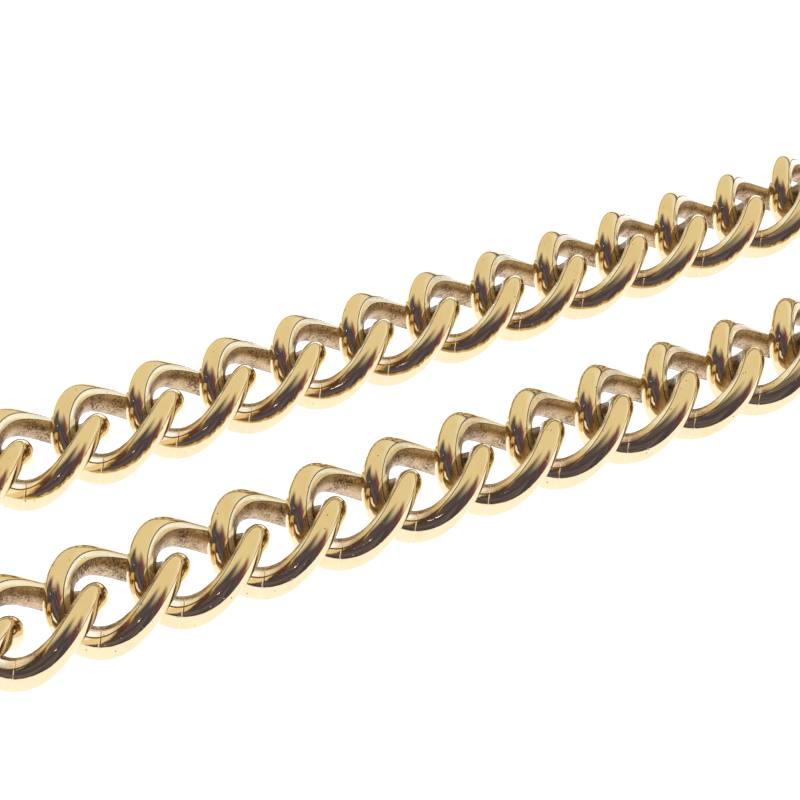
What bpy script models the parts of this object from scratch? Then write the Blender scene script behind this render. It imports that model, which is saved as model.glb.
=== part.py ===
"""Double Albert watch chain laid out on a table: two arms of twisted curb links, a centre ring
with a T-bar, and a sprung swivel clasp at the end of each arm. Metres, +Z up, +X along the arms."""

import math

import bmesh
import bpy
from mathutils import Matrix, Vector

MM = 0.001

# Curb link, in millimetres
PITCH = 6.0                # distance from one link to the next along a taut run
LINK_HALF_LENGTH = 4.11    # centreline of the wire, along the run
LINK_HALF_WIDTH = 3.34     # centreline of the wire, across the run before the twist
LINK_SQUARENESS = 2.12     # exponent of the oval: 2 is an ellipse
WIRE_RADIAL = 1.11         # half thickness of the wire, outwards from the link's middle
WIRE_AXIAL = 1.12          # half thickness of the wire, square to the link's own plane
INNER_FLAT = 0.15          # share by which the inner face of the D-shaped wire is flattened
LINK_TWIST = math.radians(-104.0)   # end to end, which is what makes a curb link lie flat
LINK_SEGMENTS = 20
WIRE_SIDES = 8
LINKS_PER_ARM = 22

# Layout of the two arms, as headings in degrees about +Z from +X
ARM_HEADINGS = {
    "far": {"attach": 23.0, "second": 9.1, "run": 0.29},
    "near": {"attach": -25.9, "second": -11.9, "run": -0.29},
}

# Centre ring, and the jump rings that hang on it
RING_RADIUS = 6.5
RING_WIRE = 0.8
JUMP_RADIUS = 3.2
JUMP_WIRE = 0.5
JUMP_TILT = math.radians(-38.0)
SLACK = 0.25               # free play where two rings meet

# Eye of the swivels
EYE_RADIUS = 2.5
EYE_WIRE = 0.75
SWIVEL_EYE_TILT = math.radians(39.2)

# T-bar
BAR_HALF_LENGTH = 15.0
BAR_RADIUS = 1.35
BAR_WAIST = 1.15
BALL_RADIUS = 2.2
COLLAR_HALF_LENGTH = 2.4
COLLAR_RADIUS = 1.9
BAR_EYE_RADIUS = 3.2
BAR_EYE_WIRE = 0.6
BAR_OFFSET = 4.7           # from the middle of the eye to the bar's axis

# Swivel clasp, measured along its length from the middle of its eye
STEM_RADIUS = 0.85
STEM_END = 7.05
RIVET_RADIUS = 1.4
RIVET_START = 6.2
COLLAR_START = 3.75
COLLAR_END = 5.9
COLLAR_R = 2.3
BORE_RADIUS = 1.05
WINDOW_END = 7.55
WINDOW_HALF_WIDTH = 1.75
BODY_END = 12.15
BODY_HALF_DEPTH = 1.65
BOW_CENTRE = 16.15
BOW_HALF_LENGTH = 5.4
BOW_HALF_WIDTH = 4.8
BOW_WIRE = 1.05
PIN_X = 10.65
PIN_Y = 3.1
PIN_RADIUS = 0.45
PIN_BORE = 0.55
GATE_TIP = (18.25, 2.35)
GATE_WIRE = 0.75

GOLD = (0.80, 0.56, 0.24, 1.0)
STEEL = (0.45, 0.44, 0.42, 1.0)


def clear_scene():
    """Removes the startup scene's objects."""
    for obj in list(bpy.data.objects):
        bpy.data.objects.remove(obj, do_unlink=True)


def metal(name, colour, roughness):
    """A metallic Principled material."""
    material = bpy.data.materials.new(name)
    material.use_nodes = True
    shader = material.node_tree.nodes["Principled BSDF"]
    shader.inputs["Base Color"].default_value = colour
    shader.inputs["Metallic"].default_value = 1.0
    shader.inputs["Roughness"].default_value = roughness
    material.diffuse_color = colour
    return material


def new_mesh(name, bm, material, smooth=True):
    """Turns a bmesh into a mesh in metres."""
    bmesh.ops.recalc_face_normals(bm, faces=bm.faces)
    bmesh.ops.scale(bm, vec=(MM, MM, MM), verts=bm.verts)
    mesh = bpy.data.meshes.new(name)
    bm.to_mesh(mesh)
    bm.free()
    mesh.materials.append(material)
    for face in mesh.polygons:
        face.use_smooth = smooth
    return mesh


def place(name, mesh, at=(0.0, 0.0, 0.0), heading=0.0, parent=None):
    """Puts a mesh in the scene at a point in millimetres, turned about +Z."""
    obj = bpy.data.objects.new(name, mesh)
    bpy.context.scene.collection.objects.link(obj)
    obj.location = Vector(at) * MM
    obj.rotation_euler = (0.0, 0.0, heading)
    obj.parent = parent
    return obj


def bridge(bm, rings, closed):
    """Joins rings of vertices into a tube, and caps its ends if it is open."""
    count = len(rings)
    sides = len(rings[0])
    for i in range(count if closed else count - 1):
        one = rings[i]
        two = rings[(i + 1) % count]
        for j in range(sides):
            k = (j + 1) % sides
            bm.faces.new((one[j], two[j], two[k], one[k]))
    if not closed:
        bm.faces.new(rings[0])
        bm.faces.new(rings[-1][::-1])


def wire_section(angle):
    """Outward and axial offsets of the link's D-shaped wire at one angle round it."""
    out = math.cos(angle)
    side = math.sin(angle)
    if out > 0:
        radial = WIRE_RADIAL * out
    else:
        radial = -WIRE_RADIAL * (1 - INNER_FLAT) * abs(out) ** 0.55
    return radial, WIRE_AXIAL * math.copysign(abs(side) ** 0.85, side)


def twisted(point):
    """Turns a point of the flat oval link about +X by its share of the twist."""
    angle = LINK_TWIST * point.x / (2 * LINK_HALF_LENGTH)
    return Matrix.Rotation(angle, 3, "X") @ point


def oval(t):
    """Point of the flat link's centreline, and the outward direction there."""
    power = 2 / LINK_SQUARENESS
    along = math.cos(t)
    across = math.sin(t)
    x = math.copysign(abs(along) ** power, along)
    y = math.copysign(abs(across) ** power, across)
    out_x = math.copysign(abs(along) ** (2 - power), along) / LINK_HALF_LENGTH
    out_y = math.copysign(abs(across) ** (2 - power), across) / LINK_HALF_WIDTH
    return (Vector((LINK_HALF_LENGTH * x, LINK_HALF_WIDTH * y, 0.0)),
            Vector((out_x, out_y, 0.0)).normalized())


def link_bmesh(segments, sides):
    """One curb link: an oval of D-shaped wire, twisted from end to end."""
    bm = bmesh.new()
    rings = []
    for i in range(segments):
        centre, outward = oval(2 * math.pi * i / segments)
        ring = []
        for j in range(sides):
            radial, axial = wire_section(2 * math.pi * j / sides)
            point = centre + outward * radial + Vector((0.0, 0.0, axial))
            ring.append(bm.verts.new(twisted(point)))
        rings.append(ring)
    bridge(bm, rings, closed=True)
    return bm


def add_torus(bm, radius, wire, segments, sides, centre=(0.0, 0.0)):
    """A round ring lying flat."""
    rings = []
    for i in range(segments):
        t = 2 * math.pi * i / segments
        ring = []
        for j in range(sides):
            s = 2 * math.pi * (j + 0.5) / sides
            reach = radius + wire * math.cos(s)
            x = centre[0] + reach * math.cos(t)
            y = centre[1] + reach * math.sin(t)
            ring.append(bm.verts.new((x, y, wire * math.sin(s))))
        rings.append(ring)
    bridge(bm, rings, closed=True)


def add_lathe(bm, profile, segments, axis):
    """A turned solid from (position, radius) pairs along the X, Y or Z axis."""
    rings = []
    for position, radius in profile:
        ring = []
        for i in range(segments):
            t = 2 * math.pi * (i + 0.5) / segments
            u = radius * math.cos(t)
            v = radius * math.sin(t)
            spot = {"X": (position, u, v), "Y": (v, position, u), "Z": (u, v, position)}[axis]
            ring.append(bm.verts.new(spot))
        rings.append(ring)
    bridge(bm, rings, closed=False)


def add_sweep(bm, path, radii, sides):
    """A round wire along a path in the XY plane, with a radius at each point."""
    rings = []
    for i, (x, y) in enumerate(path):
        before = Vector(path[max(i - 1, 0)])
        after = Vector(path[min(i + 1, len(path) - 1)])
        along = (after - before).normalized()
        across = Vector((-along.y, along.x))
        ring = []
        for j in range(sides):
            s = 2 * math.pi * (j + 0.5) / sides
            shift = across * radii[i] * math.cos(s)
            ring.append(bm.verts.new((x + shift.x, y + shift.y, radii[i] * math.sin(s))))
        rings.append(ring)
    bridge(bm, rings, closed=False)


def add_plate(bm, outline, low, high):
    """A flat plate from an outline in the XY plane, with its corners taken off."""
    count = len(outline)
    middle = Vector((sum(p[0] for p in outline) / count, sum(p[1] for p in outline) / count))
    rings = []
    bevel = min(0.35, (high - low) / 4)
    for z, inset in ((low, bevel), (low + bevel, 0.0), (high - bevel, 0.0), (high, bevel)):
        ring = []
        for point in outline:
            away = Vector(point) - middle
            spot = Vector(point) - away.normalized() * inset
            ring.append(bm.verts.new((spot.x, spot.y, z)))
        rings.append(ring)
    bridge(bm, rings, closed=False)


def add_box(bm, low, high):
    """A box between two corners."""
    size = [high[i] - low[i] for i in range(3)]
    middle = [(high[i] + low[i]) / 2 for i in range(3)]
    matrix = Matrix.Translation(middle) @ Matrix.Diagonal((*size, 1.0))
    bmesh.ops.create_cube(bm, size=1.0, matrix=matrix)


def combined(name, material, joined, cuts=()):
    """The union of some closed shapes, less some others, as one mesh."""
    helpers = []
    for i, bm in enumerate((*joined, *cuts)):
        helpers.append(place(f"{name}_helper_{i}", new_mesh(f"{name}_helper_{i}", bm, material)))
    base = helpers[0]
    for i, helper in enumerate(helpers[1:], start=1):
        modifier = base.modifiers.new(f"shape_{i}", "BOOLEAN")
        modifier.operation = "UNION" if i < len(joined) else "DIFFERENCE"
        modifier.solver = "EXACT"
        modifier.object = helper
    bpy.context.view_layer.update()
    graph = bpy.context.evaluated_depsgraph_get()
    mesh = bpy.data.meshes.new_from_object(base.evaluated_get(graph))
    mesh.name = name
    for helper in helpers:
        bpy.data.objects.remove(helper, do_unlink=True)
    return mesh


def shape(build, *args):
    """A new bmesh holding one added shape."""
    bm = bmesh.new()
    build(bm, *args)
    return bm


def t_bar_mesh(material):
    """The turned bar with ball ends, its middle collar and the eye that is soldered to it."""
    ball = [(BAR_HALF_LENGTH - BALL_RADIUS * math.cos(math.radians(a)),
             BALL_RADIUS * math.sin(math.radians(a))) for a in (38, 65, 90, 115, 142, 166)]
    half = [(COLLAR_HALF_LENGTH - 0.5, COLLAR_RADIUS), (COLLAR_HALF_LENGTH, COLLAR_RADIUS - 0.4),
            (COLLAR_HALF_LENGTH + 0.2, BAR_WAIST), (BAR_HALF_LENGTH - 3.0, BAR_RADIUS), *ball]
    profile = [(-y, r) for y, r in reversed(half)] + half
    bar = shape(add_lathe, profile, 12, "Y")
    bmesh.ops.translate(bar, vec=(-BAR_OFFSET, 0.0, 0.0), verts=bar.verts)
    eye = shape(add_torus, BAR_EYE_RADIUS, BAR_EYE_WIRE, 18, 8)
    return combined("t_bar", material, (bar, eye))


def swivel_eye_mesh(material):
    """The swivel's eye with its stem, riveted over inside the window of the body."""
    eye = shape(add_torus, EYE_RADIUS, EYE_WIRE, 18, 8)
    tilt = Matrix.Rotation(SWIVEL_EYE_TILT, 3, "X")
    bmesh.ops.rotate(eye, matrix=tilt, verts=eye.verts)
    profile = [(EYE_RADIUS, STEM_RADIUS), (RIVET_START, STEM_RADIUS), (RIVET_START, RIVET_RADIUS),
               (STEM_END - 0.3, RIVET_RADIUS), (STEM_END, RIVET_RADIUS - 0.5)]
    return combined("swivel_eye", material, (eye, shape(add_lathe, profile, 12, "X")))


def swivel_body_mesh(material):
    """The hook: collar, window, clevis for the gate, and the bow that ends in the nose."""
    collar = shape(add_lathe, [(COLLAR_START, 1.7), (COLLAR_START + 0.6, COLLAR_R),
                               (COLLAR_END - 0.3, COLLAR_R), (COLLAR_END + 0.2, 2.0)], 16, "X")
    outline = [(COLLAR_END - 0.5, -2.1), (COLLAR_END + 0.3, -2.7), (BODY_END - 1.2, -3.0),
               (BODY_END, -2.6), (BODY_END, 0.9), (BODY_END - 0.1, 3.4), (BODY_END - 0.7, 4.2),
               (PIN_X - 0.3, 4.5), (PIN_X - 1.4, 3.9), (COLLAR_END + 0.3, 2.7),
               (COLLAR_END - 0.5, 2.1)]
    block = shape(add_plate, outline, -BODY_HALF_DEPTH, BODY_HALF_DEPTH)
    steps = 15
    turns = [math.radians(205 + (430 - 205) * i / steps) for i in range(steps + 1)]
    path = [(BOW_CENTRE + BOW_HALF_LENGTH * math.cos(t), BOW_HALF_WIDTH * math.sin(t)) for t in turns]
    radii = [BOW_WIRE * (1.15 - 0.2 * i / steps) for i in range(steps)] + [BOW_WIRE * 0.6]
    bow = shape(add_sweep, path, radii, 8)
    window = shape(add_box, (COLLAR_END, -WINDOW_HALF_WIDTH, -3.0), (WINDOW_END, WINDOW_HALF_WIDTH, 3.0))
    bore = shape(add_lathe, [(COLLAR_START - 1.0, BORE_RADIUS), (COLLAR_END + 0.5, BORE_RADIUS)], 12, "X")
    slot = shape(add_box, (PIN_X - 1.5, 1.3, -0.95), (BODY_END + 2.0, 6.0, 0.95))
    hole = shape(add_lathe, [(-3.0, PIN_BORE), (3.0, PIN_BORE)], 12, "Z")
    bmesh.ops.translate(hole, vec=(PIN_X, PIN_Y, 0.0), verts=hole.verts)
    return combined("swivel_body", material, (block, collar, bow), (window, bore, slot, hole))


def swivel_gate_mesh(material):
    """The gate lever about its pin: knuckle, web, arm to the nose, and thumb button."""
    knuckle = shape(add_lathe, [(0.05, 1.0), (0.8, 1.0)], 14, "Z")
    web = shape(add_box, (0.3, -0.75, 0.05), (2.1, 0.55, 0.8))
    reach = Vector((GATE_TIP[0] - PIN_X, GATE_TIP[1] - PIN_Y))
    path = [tuple(reach * share) for share in (0.19, 0.3, 0.5, 0.75, 0.93, 1.0)]
    radii = [GATE_WIRE * r for r in (0.85, 1.0, 1.0, 0.95, 0.85, 0.5)]
    arm = shape(add_sweep, path, radii, 8)
    button = shape(add_lathe, [(-0.3, 0.5), (1.0, 0.45), (1.15, 0.85), (1.6, 0.9), (1.85, 0.55)], 10, "Y")
    bmesh.ops.translate(button, vec=(3.0, 0.0, 0.0), verts=button.verts)
    hole = shape(add_lathe, [(-1.0, PIN_BORE), (2.0, PIN_BORE)], 12, "Z")
    return combined("swivel_gate", material, (arm, web, knuckle, button), (hole,))


def swivel_pin_mesh(material):
    """The hinge pin, with a low domed head at each end."""
    half = BODY_HALF_DEPTH + 0.15
    profile = [(-half - 0.35, 0.5), (-half - 0.1, 0.8), (-half, 0.8), (-half, PIN_RADIUS),
               (half, PIN_RADIUS), (half, 0.8), (half + 0.1, 0.8), (half + 0.35, 0.5)]
    return new_mesh("swivel_pin", shape(add_lathe, profile, 12, "Z"), material)


def swivel_spring_mesh(material):
    """Two turns of wire round the pin, under the knuckle."""
    bm = bmesh.new()
    rings = []
    steps = 24
    for i in range(steps + 1):
        t = math.radians(200 + 720 * i / steps)
        radial = Vector((math.cos(t), math.sin(t), 0.0))
        centre = radial * 0.95 + Vector((0.0, 0.0, -0.75 + 0.6 * i / steps))
        ring = []
        for j in range(5):
            s = 2 * math.pi * j / 5
            offset = radial * math.cos(s) + Vector((0.0, 0.0, math.sin(s)))
            ring.append(bm.verts.new(centre + offset * 0.12))
        rings.append(ring)
    bridge(bm, rings, closed=False)
    return new_mesh("swivel_spring", bm, material)


def jump_reach():
    """Distance from the centre ring's middle to that of a jump ring pulled away from it."""
    return RING_RADIUS - RING_WIRE - SLACK - JUMP_WIRE + JUMP_RADIUS


def arm_layout(headings):
    """Middle and heading of each link of an arm, with the centre ring's middle at the origin."""
    inner = WIRE_RADIAL * (1 - INNER_FLAT)
    turn = math.radians(headings["attach"])
    reach = jump_reach() + JUMP_RADIUS - JUMP_WIRE - SLACK - inner + LINK_HALF_LENGTH - PITCH / 2
    contact = Vector((reach * math.cos(turn), reach * math.sin(turn), 0.0))
    spots = []
    for number in range(1, LINKS_PER_ARM + 1):
        name = {1: "attach", 2: "second"}.get(number, "run")
        turn = math.radians(headings[name])
        half = Vector((math.cos(turn), math.sin(turn), 0.0)) * PITCH / 2
        spots.append((contact + half, turn))
        contact = contact + half * 2
    return spots, contact, turn


def eye_offset():
    """Distance from a contact point to the middle of the eye hung on it."""
    inner = WIRE_RADIAL * (1 - INNER_FLAT)
    return LINK_HALF_LENGTH - PITCH / 2 - inner - SLACK - EYE_WIRE + EYE_RADIUS


def build_chain(gold):
    """Centre ring, T-bar, the three jump rings, and both arms of links."""
    link = new_mesh("curb_link", link_bmesh(LINK_SEGMENTS, WIRE_SIDES), gold)
    ring = new_mesh("centre_ring", shape(add_torus, RING_RADIUS, RING_WIRE, 28, 8), gold)
    flat_jump = shape(add_torus, JUMP_RADIUS, JUMP_WIRE, 18, 8)
    tilt = Matrix.Rotation(JUMP_TILT, 3, "X")
    bmesh.ops.rotate(flat_jump, matrix=tilt, verts=flat_jump.verts)
    jump = new_mesh("jump_ring", flat_jump, gold)
    reach = jump_reach()
    pieces = [place("centre_ring", ring), place("t_bar_jump_ring", jump, (-reach, 0.0, 0.0))]
    eye_at = -reach - JUMP_RADIUS + JUMP_WIRE + SLACK + BAR_EYE_WIRE - BAR_EYE_RADIUS
    pieces.append(place("t_bar", t_bar_mesh(gold), (eye_at, 0.0, 0.0)))
    ends = {}
    for arm, headings in ARM_HEADINGS.items():
        turn = math.radians(headings["attach"])
        at = (reach * math.cos(turn), reach * math.sin(turn), 0.0)
        pieces.append(place(f"{arm}_arm_jump_ring", jump, at, turn))
        spots, contact, turn = arm_layout(headings)
        for number, (spot, heading) in enumerate(spots, start=1):
            pieces.append(place(f"{arm}_arm_link_{number:02d}", link, spot, heading))
        ends[arm] = (contact, turn)
    return pieces, ends


def build_swivels(ends, gold, steel):
    """A swivel clasp at the end of each arm. The gate, pin and spring stand on the hinge axis."""
    meshes = {
        "eye": swivel_eye_mesh(gold),
        "body": swivel_body_mesh(gold),
        "gate": swivel_gate_mesh(gold),
        "pin": swivel_pin_mesh(gold),
        "spring": swivel_spring_mesh(steel),
    }
    pieces = []
    for arm, (contact, turn) in ends.items():
        along = Vector((math.cos(turn), math.sin(turn), 0.0))
        across = Vector((-math.sin(turn), math.cos(turn), 0.0))
        middle = contact + along * eye_offset()
        hinge = middle + along * PIN_X + across * PIN_Y
        for piece, mesh in meshes.items():
            at = middle if piece in ("eye", "body") else hinge
            pieces.append(place(f"{arm}_swivel_{piece}", mesh, at, turn))
    return pieces


def stand_on_origin(pieces):
    """Moves the whole assembly so that its footprint is centred on the origin, at Z = 0."""
    bpy.context.view_layer.update()
    corners = [obj.matrix_world @ v.co for obj in pieces for v in obj.data.vertices]
    low = Vector([min(c[i] for c in corners) for i in range(3)])
    high = Vector([max(c[i] for c in corners) for i in range(3)])
    shift = Vector(((low.x + high.x) / 2, (low.y + high.y) / 2, low.z))
    for obj in pieces:
        obj.location -= shift


def main():
    clear_scene()
    gold = metal("polished_gold", GOLD, 0.15)
    steel = metal("spring_steel", STEEL, 0.35)
    pieces, ends = build_chain(gold)
    pieces += build_swivels(ends, gold, steel)
    stand_on_origin(pieces)


main()
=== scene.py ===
"""Double Albert pocket watch chain in polished gold: two arms of twisted curb links, a centre ring
with a T-bar, and a sprung swivel clasp at the end of each arm. The looks are built round the
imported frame, in metres, with +Z up and +X along the arms."""

import math

import bmesh
import bpy
from bpy.props import FloatProperty, FloatVectorProperty, IntProperty, PointerProperty
from mathutils import Matrix, Vector
from mathutils.bvhtree import BVHTree


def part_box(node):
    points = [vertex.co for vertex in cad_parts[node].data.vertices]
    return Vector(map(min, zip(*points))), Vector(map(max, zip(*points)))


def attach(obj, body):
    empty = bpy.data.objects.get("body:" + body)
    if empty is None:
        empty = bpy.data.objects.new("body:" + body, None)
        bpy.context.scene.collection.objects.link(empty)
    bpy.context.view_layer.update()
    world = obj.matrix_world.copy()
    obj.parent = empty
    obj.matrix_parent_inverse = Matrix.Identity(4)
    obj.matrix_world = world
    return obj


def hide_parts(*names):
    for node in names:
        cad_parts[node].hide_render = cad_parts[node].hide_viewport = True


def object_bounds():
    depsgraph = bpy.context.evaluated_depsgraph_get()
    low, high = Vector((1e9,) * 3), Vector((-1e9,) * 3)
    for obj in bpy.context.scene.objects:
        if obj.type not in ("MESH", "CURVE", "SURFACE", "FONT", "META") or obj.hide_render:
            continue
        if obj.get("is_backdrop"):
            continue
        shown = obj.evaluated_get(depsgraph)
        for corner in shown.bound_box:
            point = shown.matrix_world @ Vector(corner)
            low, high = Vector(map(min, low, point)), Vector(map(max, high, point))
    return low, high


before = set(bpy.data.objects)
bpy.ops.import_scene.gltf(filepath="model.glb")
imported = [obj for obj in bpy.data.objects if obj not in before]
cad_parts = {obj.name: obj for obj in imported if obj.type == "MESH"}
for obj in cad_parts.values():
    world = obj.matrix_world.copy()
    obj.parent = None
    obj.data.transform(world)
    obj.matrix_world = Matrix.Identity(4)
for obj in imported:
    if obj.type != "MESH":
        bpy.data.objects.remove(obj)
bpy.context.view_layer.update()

bl_info = {
    "name": "Curb link watch chain",
    "version": (1, 0, 0),
    "blender": (4, 5, 0),
    "location": "View3D > Sidebar > Watch chain",
    "description": "Builds a double Albert pocket watch chain with its rings, T-bar and swivel clasps",
    "category": "Add Mesh",
}

MM = 0.001
ARMS = ("far", "near")
LINKS_PER_ARM = 22

# Headings of the links of each arm, in degrees about +Z from +X
ARM_HEADINGS = {
    "far": {"attach": 23.0, "second": 9.1, "run": 0.29},
    "near": {"attach": -25.9, "second": -11.9, "run": -0.29},
}


def length(name, millimetres, description):
    """A length that a user can change, kept in metres."""
    return FloatProperty(name=name, description=description, default=millimetres * MM,
                         min=0.0, precision=6, unit="LENGTH")


def angle(name, degrees, description):
    """An angle that a user can change."""
    return FloatProperty(name=name, description=description, default=math.radians(degrees),
                         unit="ROTATION")


def colour(name, value, description):
    """A colour that a user can change."""
    return FloatVectorProperty(name=name, description=description, default=value, size=3,
                               min=0.0, max=1.0, subtype="COLOR")


def share(name, value, description, high=1.0):
    """A plain number that a user can change."""
    return FloatProperty(name=name, description=description, default=value, min=0.0, max=high)


class LinkSettings(bpy.types.PropertyGroup):
    """Sizes of the twisted curb links."""

    pitch: length("Pitch", 6.0, "Distance from one link to the next along a taut run")
    half_length: length("Half length", 4.11, "Middle of the link to the wire's centreline, along the run")
    half_width: length("Half width", 3.34, "Middle of the link to the wire's centreline, across the run")
    squareness: share("Squareness", 2.2, "Exponent of the link's oval, where 2 is an ellipse", high=4.0)
    twist: angle("Twist", -104.0, "Turn of the wire from one end of the link to the other")
    wire_radial: length("Wire, outwards", 1.14, "Half thickness of the wire, outwards from the link's middle")
    wire_axial: length("Wire, across", 1.155, "Half thickness of the wire, square to the link's plane")
    inner_flat: share("Inner flat", 0.15, "How far the inner face of the D-shaped wire is flattened")
    shoulder: angle("Shoulder", 96.0, "Where the wire's shoulder begins, round its section")
    # The fine dark line is a painted dark reflection of the floor's edge, set into the metal as a dark strip.
    dark_reflection_line: length("Wheel line", 0.09, "Width of the fine dark line where the polishing wheel stops")
    corner: angle("Corner", 121.0, "Where the wire's polished face meets its inner face, round its section")
    # The dark strip at the corner of the inner face is painted shade under the edge.
    painted_shade_corner: length("Worn corner", 0.05, "Width of the worn corner between them")
    swell: length("Swell", 0.03, "How much thicker the wire is where no other link comes near")
    seam_at: angle("Seam", 234.0, "Where the solder seam lies, round the link")
    seam_width: length("Seam width", 0.09, "Width of the solder seam")
    seam_height: length("Seam height", 0.014, "How far the solder seam stands above the wire")
    segments: IntProperty(name="Segments", description="Steps round the link", default=96, min=24, max=240)


class FittingSettings(bpy.types.PropertyGroup):
    """Sizes of the rings, the T-bar and the swivel clasps."""

    ring_radius: length("Centre ring radius", 6.5, "To the middle of the centre ring's wire")
    ring_wire: length("Centre ring wire", 0.8, "Half thickness of the centre ring's wire")
    jump_radius: length("Jump ring radius", 3.2, "To the middle of a jump ring's wire")
    jump_wire: length("Jump ring wire", 0.5, "Half thickness of a jump ring's wire")
    jump_tilt: angle("Jump ring tilt", -38.0, "How far a jump ring leans as it lies")
    slack: length("Slack", 0.25, "Free play where two rings meet")
    play: length("Play", 0.05, "How much thinner polishing leaves a ring's wire than its nominal size")
    bar_half_length: length("T-bar half length", 15.0, "Middle of the T-bar to the middle of a ball end")
    bar_radius: length("T-bar radius", 1.35, "Radius of the bar next to its ball ends")
    ball_radius: length("Ball radius", 2.2, "Radius of the T-bar's ball ends")
    bar_offset: length("T-bar offset", 4.7, "Middle of the T-bar's eye to the bar's axis")
    eye_radius: length("Swivel eye radius", 2.5, "To the middle of the wire of a swivel's eye")
    eye_wire: length("Swivel eye wire", 0.75, "Half thickness of the wire of a swivel's eye")
    eye_tilt: angle("Swivel eye tilt", 39.2, "How far a swivel's eye is turned in the last link")
    bow_wire: length("Bow wire", 1.05, "Half thickness of the hook's bow")


class FinishSettings(bpy.types.PropertyGroup):
    """Colours and finishes of the metals."""

    gold: colour("Gold", (0.80, 0.655, 0.40), "Polished gold")
    # This pale gold along the shoulder is a painted reflection of the bright floor.
    pale_reflection: colour("Burnished gold", (0.97, 0.92, 0.80), "Gold rubbed pale along the wire's shoulder")
    old_gold: colour("Old gold", (0.70, 0.53, 0.29), "Gold that handling has dulled")
    # This dark colour is real dirt in the pits, and also the painted dark reflection and painted shade of the
    # fine dark strips on the wire.
    dirt_and_painted_dark: colour("Tarnish", (0.075, 0.045, 0.025), "Dirt and tarnish in lines and pits")
    inner_light: colour("Inner face, light", (0.68, 0.50, 0.29), "Bare gold on the unpolished inner face")
    inner_dark: colour("Inner face, dark", (0.12, 0.07, 0.04), "Grime on the unpolished inner face")
    solder: colour("Solder", (0.80, 0.68, 0.46), "Paler solder at the seams")
    steel: colour("Spring steel", (0.45, 0.43, 0.40), "Steel of the gate's spring")
    polish: share("Polish roughness", 0.07, "Roughness of polished gold")
    ripple: share("Ripple", 0.10, "Strength of the faint waves that hand polishing leaves")


class StageSettings(bpy.types.PropertyGroup):
    """Floor, light and camera."""

    floor: colour("Floor", (0.92, 0.915, 0.905), "Plain pale floor")
    floor_gap: length("Floor gap", 110.0, "Floor to the chain's underside, clear of every swing of its arms")
    camera_elevation: angle("Camera elevation", 40.61, "Camera above the horizon")
    camera_heading: angle("Camera heading", 61.985, "Direction the camera looks in, about +Z from +X")
    camera_distance: length("Camera distance", 142.8, "Camera to the point it looks at")
    camera_along: length("Aim along the arms", 23.205,
                         "From between the fourth near and fifth far links, along the arms")
    camera_across: length("Aim across the arms", 0.717, "The same, across the arms")
    camera_lens: FloatProperty(name="Lens", description="Focal length", default=84.08, min=1.0,
                               unit="CAMERA")
    glow: share("Floor glow", 1.15, "Light that comes up through the floor, a backlit acrylic sheet",
                high=100.0)
    glow_colour: colour("Floor glow colour", (0.64, 0.71, 0.93), "Cool white of the light under the floor")
    dome: share("Dome strength", 1.06, "Strength of the soft light from all round", high=100.0)
    dark: colour("Dark of the room", (0.08, 0.07, 0.115), "What the metal mirrors from the dark end of the room")
    curtain: colour("Curtain", (0.24, 0.07, 0.10), "Dark red curtain at the side of the dark end")
    dark_left: angle("Dark, left", -100.0, "Left end of the dark end, about +Z from the camera's side")
    dark_right: angle("Dark, right", 66.0, "Right end of the dark end")
    dark_top: angle("Dark, top", 77.0, "Top of the dark end above the horizon")
    skirting: angle("Skirting", 4.5, "Height of the dark line all round where the floor ends")
    lamp_heading: angle("Lamp heading", -47.0, "Small lamp in the dark end, about +Z from the camera's side")
    lamp_elevation: angle("Lamp elevation", 36.0, "Small lamp above the horizon")


class ChainSettings(bpy.types.PropertyGroup):
    """Everything that a user would change."""

    links: PointerProperty(type=LinkSettings, name="Links", description="Curb links")
    fittings: PointerProperty(type=FittingSettings, name="Fittings", description="Rings, bar and clasps")
    finish: PointerProperty(type=FinishSettings, name="Finish", description="Metals")
    stage: PointerProperty(type=StageSettings, name="Stage", description="Floor, light and camera")


# ---------------------------------------------------------------- shader groups and metals

def new_group(name, inputs, outputs):
    """An empty shader node group with named inputs (name, type, default) and outputs (name, type)."""
    group = bpy.data.node_groups.new(name, "ShaderNodeTree")
    for label, kind, default in inputs:
        socket = group.interface.new_socket(label, in_out="INPUT", socket_type=kind)
        if default is not None:
            socket.default_value = default
    for label, kind in outputs:
        group.interface.new_socket(label, in_out="OUTPUT", socket_type=kind)
    start = group.nodes.new("NodeGroupInput")
    end = group.nodes.new("NodeGroupOutput")
    start.location, end.location = (-900, 0), (900, 0)
    return group, start, end


def add_node(tree, kind, at=(0, 0), **values):
    """A node with its plain settings, and its sockets' values by name or by number."""
    node = tree.nodes.new(kind)
    node.location = at
    for key, value in values.items():
        if key == "sockets":
            for socket, amount in value.items():
                node.inputs[socket].default_value = amount
        else:
            setattr(node, key, value)
    return node


def add_noise(tree, vector, scale, detail=2.0, roughness=0.5, at=(0, 0)):
    """Noise over a vector."""
    node = add_node(tree, "ShaderNodeTexNoise", at,
                    sockets={"Detail": detail, "Roughness": roughness})
    tree.links.new(vector, node.inputs["Vector"])
    if isinstance(scale, float):
        node.inputs["Scale"].default_value = scale
    else:
        tree.links.new(scale, node.inputs["Scale"])
    return node.outputs["Fac"]


def add_steps(tree, value, low, high, at=(0, 0), to_low=0.0, to_high=1.0):
    """A smooth step from low to high."""
    node = add_node(tree, "ShaderNodeMapRange", at, interpolation_type="SMOOTHSTEP",
                    sockets={"From Min": low, "From Max": high, "To Min": to_low, "To Max": to_high})
    tree.links.new(value, node.inputs["Value"])
    return node.outputs["Result"]


def add_math(tree, operation, one, two=0.0, at=(0, 0)):
    """A sum on two values, each a socket or a number."""
    node = add_node(tree, "ShaderNodeMath", at, operation=operation)
    for i, value in enumerate((one, two)):
        if isinstance(value, (int, float)):
            node.inputs[i].default_value = value
        else:
            tree.links.new(value, node.inputs[i])
    return node.outputs[0]


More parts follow.
